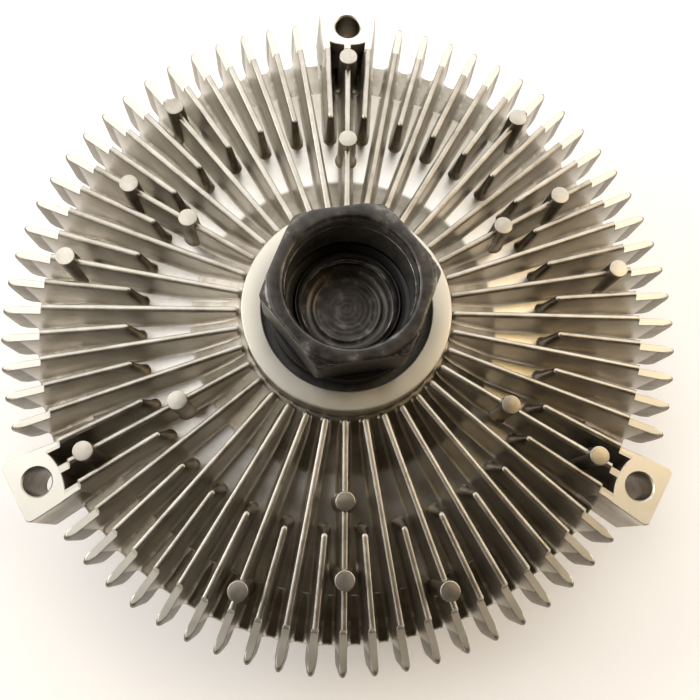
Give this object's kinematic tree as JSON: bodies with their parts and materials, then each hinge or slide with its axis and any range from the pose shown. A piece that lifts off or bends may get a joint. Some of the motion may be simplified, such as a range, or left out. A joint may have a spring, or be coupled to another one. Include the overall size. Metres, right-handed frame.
{
  "type": "viscous fan clutch",
  "caption": "Viscous fan clutch: finned cast housing with fan lugs, turning on a ball bearing about a hexagon drive hub with a threaded socket.",
  "frame": {"origin": "on the spin axis, in the machined plane of the fan lugs' faces", "axes": "+Z along the spin axis, out of the threaded hub towards the engine; +Y through one fan lug"},
  "size_m": [0.1568, 0.1603, 0.0639],
  "materials": {
    "cast_aluminium": "as cast, machined on the lug faces, fin tips and collar",
    "phosphated_steel": "dark phosphated, oiled",
    "bearing_steel": "ground",
    "sheet_steel": "rolled",
    "spring_steel": "blued",
    "zinc_steel": "zinc plated",
    "turned_aluminium": "turned",
    "polyamide": "moulded",
    "black_rubber": "moulded",
    "bimetal": "rolled two-metal strip"
  },
  "bodies": {
    "housing": {"rear_housing": "cast_aluminium", "front_cover": "cast_aluminium", "cover_seal": "black_rubber", "cover_screws": "zinc_steel", "bearing_outer_ring": "bearing_steel", "bearing_rear_seal": "black_rubber", "bearing_front_seal": "black_rubber", "bearing_circlip": "spring_steel", "separator_plate": "sheet_steel", "separator_screws": "zinc_steel", "pump_wiper": "turned_aluminium", "valve_rivet": "zinc_steel", "pin_seal": "black_rubber", "bimetal_strip": "bimetal"},
    "drive": {"drive_hub": "phosphated_steel", "bearing_inner_ring": "bearing_steel", "rotor": "turned_aluminium", "rotor_circlip": "spring_steel"},
    "ball_set": {"bearing_balls": "bearing_steel", "bearing_cage": "polyamide"},
    "pin": {"switching_pin": "bearing_steel"},
    "lever": {"valve_lever": "spring_steel"}
  },
  "joints": [
    {"name": "hub_spin", "type": "hinge", "parent": "housing", "child": "drive", "pos_m": [0, 0, 0], "axis": [0, 0, 1], "continuous": true},
    {"name": "cage_spin", "type": "hinge", "parent": "housing", "child": "ball_set", "pos_m": [0, 0, -0.001], "axis": [0, 0, 1], "continuous": true},
    {"name": "pin_slide", "type": "slide", "parent": "housing", "child": "pin", "axis": [0, 0, -1], "range_m": [0, 0.0012], "stiffness_N_per_m": 400, "deforming": ["bimetal_strip"]},
    {"name": "lever_swing", "type": "hinge", "parent": "housing", "child": "lever", "pos_m": [-0.016, 0, -0.02125], "axis": [0, 1, 0], "range_deg": [0, 4.3]}
  ],
  "couplings": [
    {"joint": "cage_spin", "follows": "hub_spin", "ratio": 0.38175},
    {"joint": "lever_swing", "follows": "pin_slide", "rad_per_m": 62.5}
  ]
}
